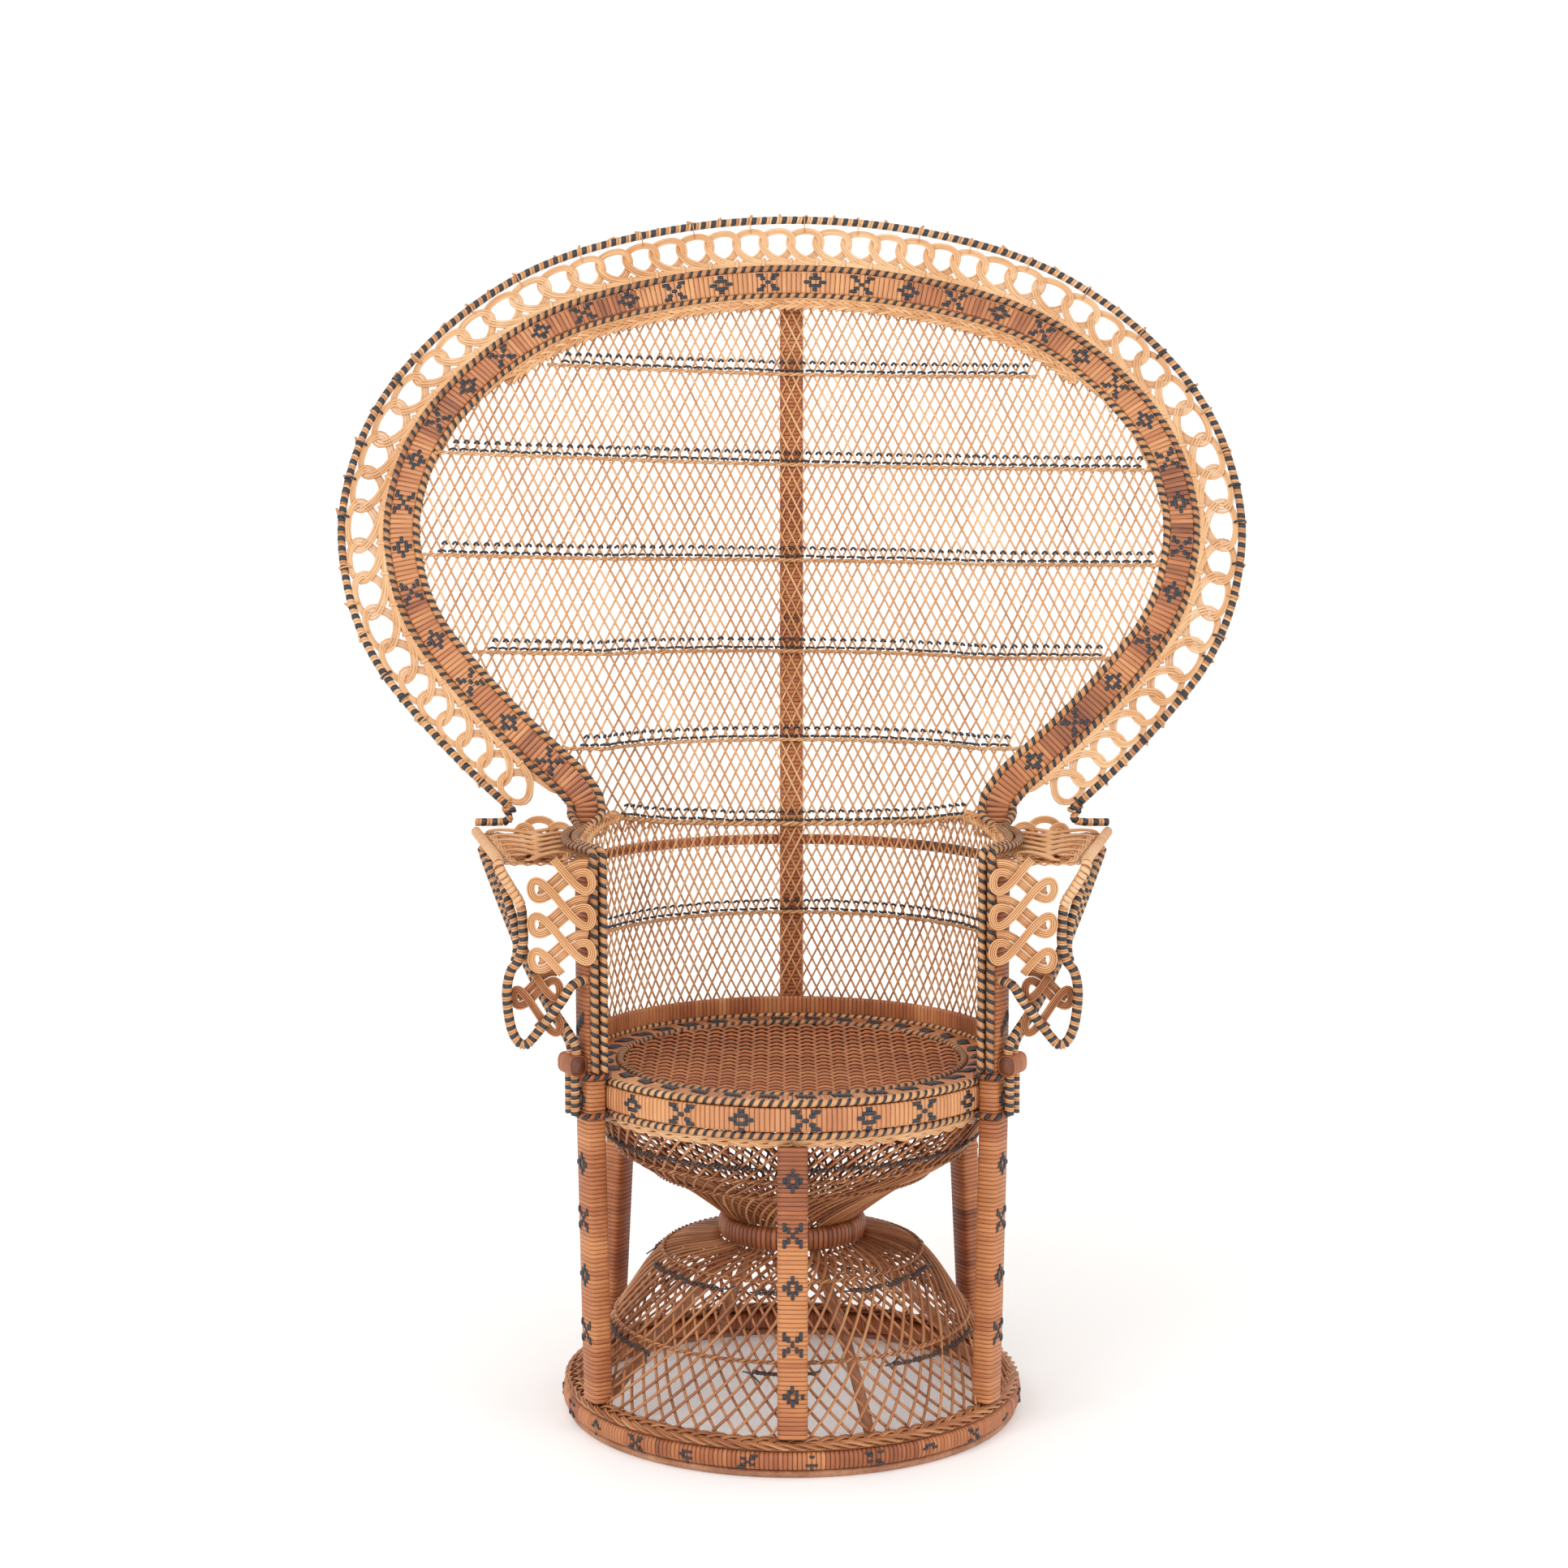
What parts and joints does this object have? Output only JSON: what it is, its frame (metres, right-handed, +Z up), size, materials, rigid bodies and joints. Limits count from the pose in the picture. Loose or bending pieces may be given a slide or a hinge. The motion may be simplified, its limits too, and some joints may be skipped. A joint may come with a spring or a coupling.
{
  "type": "peacock chair",
  "caption": "Woven rattan armchair with an hourglass base, a round woven seat, scrolled arms and a wide open-lattice fan back inside a wrapped hoop edged with loops.",
  "frame": {"origin": "on the floor, under the middle of the chair's outline box; the round base's centre lies 55.7 mm nearer the front", "axes": "+Z up, -Y towards the front that the sitter faces, +X to the right as the chair is seen from the front"},
  "size_m": [1.1052, 0.6534, 1.4072],
  "materials": {
    "natural_cane": "satin",
    "honey_wrap": "satin",
    "brown_wrap": "satin",
    "two_tone_braid": "satin",
    "bare_pole": "matt"
  },
  "bodies": {
    "root": {"base_hoop": "brown_wrap", "base_plait": "natural_cane", "waist_ring": "honey_wrap", "front_leg": "honey_wrap", "rear_leg_right": "honey_wrap", "rear_leg_left": "honey_wrap", "arm_post_right": "honey_wrap", "arm_post_left": "honey_wrap", "inner_strut_1": "brown_wrap", "inner_strut_2": "brown_wrap", "inner_strut_3": "brown_wrap", "inner_strut_4": "brown_wrap", "lower_dome": "natural_cane", "upper_funnel": "natural_cane", "dome_twine_upper": "two_tone_braid", "dome_twine_lower": "two_tone_braid", "funnel_twine": "two_tone_braid", "seat_frame_ring": "bare_pole", "apron_band": "honey_wrap", "rim_braid": "two_tone_braid", "apron_lower_braid": "two_tone_braid", "under_plait": "natural_cane", "seat_border": "honey_wrap", "seat_braid": "two_tone_braid", "woven_seat": "natural_cane", "seat_slat_front": "bare_pole", "seat_slat_rear": "bare_pole", "spine": "honey_wrap", "back_rail": "bare_pole", "wall_band": "honey_wrap", "wall_lattice": "natural_cane", "twined_row_7": "two_tone_braid", "twined_row_6": "two_tone_braid", "fan_lattice": "natural_cane", "twined_row_1": "two_tone_braid", "twined_row_2": "two_tone_braid", "twined_row_3": "two_tone_braid", "twined_row_4": "two_tone_braid", "twined_row_5": "two_tone_braid", "hoop_inner_braid": "two_tone_braid", "hoop_outer_braid": "two_tone_braid", "hoop_band": "honey_wrap", "loop_trim": "natural_cane", "rim_rod": "two_tone_braid", "top_plait": "natural_cane", "scroll_rod_right": "two_tone_braid", "scroll_rod_left": "two_tone_braid", "arm_top_right": "natural_cane", "arm_top_left": "natural_cane", "side_rod_front_right": "two_tone_braid", "side_rod_front_left": "two_tone_braid", "side_rod_rear_right": "two_tone_braid", "side_rod_rear_left": "two_tone_braid", "rod_cup_right": "honey_wrap", "rod_cup_left": "honey_wrap", "upper_panel_right": "natural_cane", "upper_panel_left": "natural_cane", "lower_panel_right": "natural_cane", "lower_panel_left": "natural_cane"}
  },
  "joints": []
}
